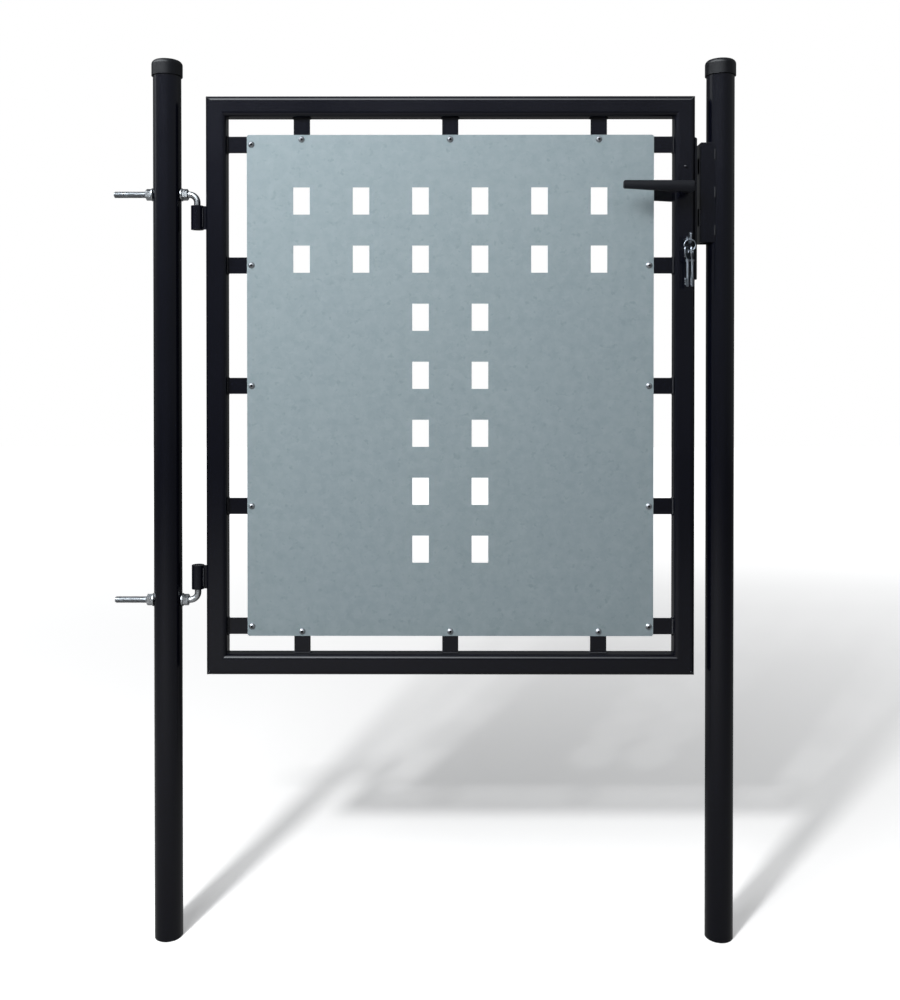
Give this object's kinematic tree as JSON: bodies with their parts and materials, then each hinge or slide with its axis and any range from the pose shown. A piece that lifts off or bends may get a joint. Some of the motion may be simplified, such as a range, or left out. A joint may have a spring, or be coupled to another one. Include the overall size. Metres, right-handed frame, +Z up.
{
  "type": "fence gate",
  "caption": "Single-leaf garden gate: round posts, square-tube frame, pierced galvanised sheet panel, bent hinge bolts, and a mortice lock with lever handles and keys.",
  "frame": {"origin": "centre of the hinge post's foot face", "axes": "+X to the latch post, +Y to the back of the gate, +Z up; the panel side faces -Y"},
  "size_m": [1.349, 0.154, 1.905],
  "materials": {
    "black_powder_coat": "satin black powder coat on steel tube and plate",
    "cap_plastic": "moulded black plastic",
    "zinc_plated_steel": "bright zinc plating",
    "galvanised_sheet": "hot-dip galvanised with a soft spangle",
    "black_cast_alloy": "black coated casting"
  },
  "bodies": {
    "posts": {"hinge_post": "black_powder_coat", "hinge_post_cap": "cap_plastic", "latch_post": "black_powder_coat", "latch_post_cap": "cap_plastic", "upper_hinge_bolt": "zinc_plated_steel", "lower_hinge_bolt": "zinc_plated_steel", "upper_outer_nut": "zinc_plated_steel", "upper_inner_nut": "zinc_plated_steel", "lower_outer_nut": "zinc_plated_steel", "lower_inner_nut": "zinc_plated_steel", "upper_outer_washer": "zinc_plated_steel", "upper_inner_washer": "zinc_plated_steel", "lower_outer_washer": "zinc_plated_steel", "lower_inner_washer": "zinc_plated_steel", "strike": "black_powder_coat"},
    "leaf": {"hinge_stile": "black_powder_coat", "lock_stile": "black_powder_coat", "top_rail": "black_powder_coat", "bottom_rail": "black_powder_coat", "upper_hinge_barrel": "black_powder_coat", "lower_hinge_barrel": "black_powder_coat", "hinge_side_tabs": "black_powder_coat", "lock_side_tabs": "black_powder_coat", "top_tabs": "black_powder_coat", "bottom_tabs": "black_powder_coat", "panel": "galvanised_sheet", "panel_screws": "zinc_plated_steel", "panel_nuts": "zinc_plated_steel", "lock_case": "zinc_plated_steel", "lock_strip": "black_powder_coat", "latch_bolt": "zinc_plated_steel", "dead_bolt": "zinc_plated_steel", "front_escutcheon": "black_powder_coat", "rear_escutcheon": "black_powder_coat", "lock_key": "zinc_plated_steel", "key_ring": "zinc_plated_steel", "spare_key_left": "zinc_plated_steel", "spare_key_right": "zinc_plated_steel"},
    "handle": {"front_lever": "black_cast_alloy", "rear_lever": "black_cast_alloy", "spindle": "zinc_plated_steel"}
  },
  "joints": [
    {"name": "gate_swing", "type": "hinge", "parent": "posts", "child": "leaf", "pos_m": [0.065, 0, 1.2], "axis": [0, 0, -1], "range_deg": [0, 100]},
    {"name": "handle_turn", "type": "hinge", "parent": "leaf", "child": "handle", "pos_m": [1.12, 0, 1.622], "axis": [0, -1, 0], "range_deg": [0, 40], "stiffness_Nm_per_rad": 2, "springref_deg": -22.92}
  ]
}
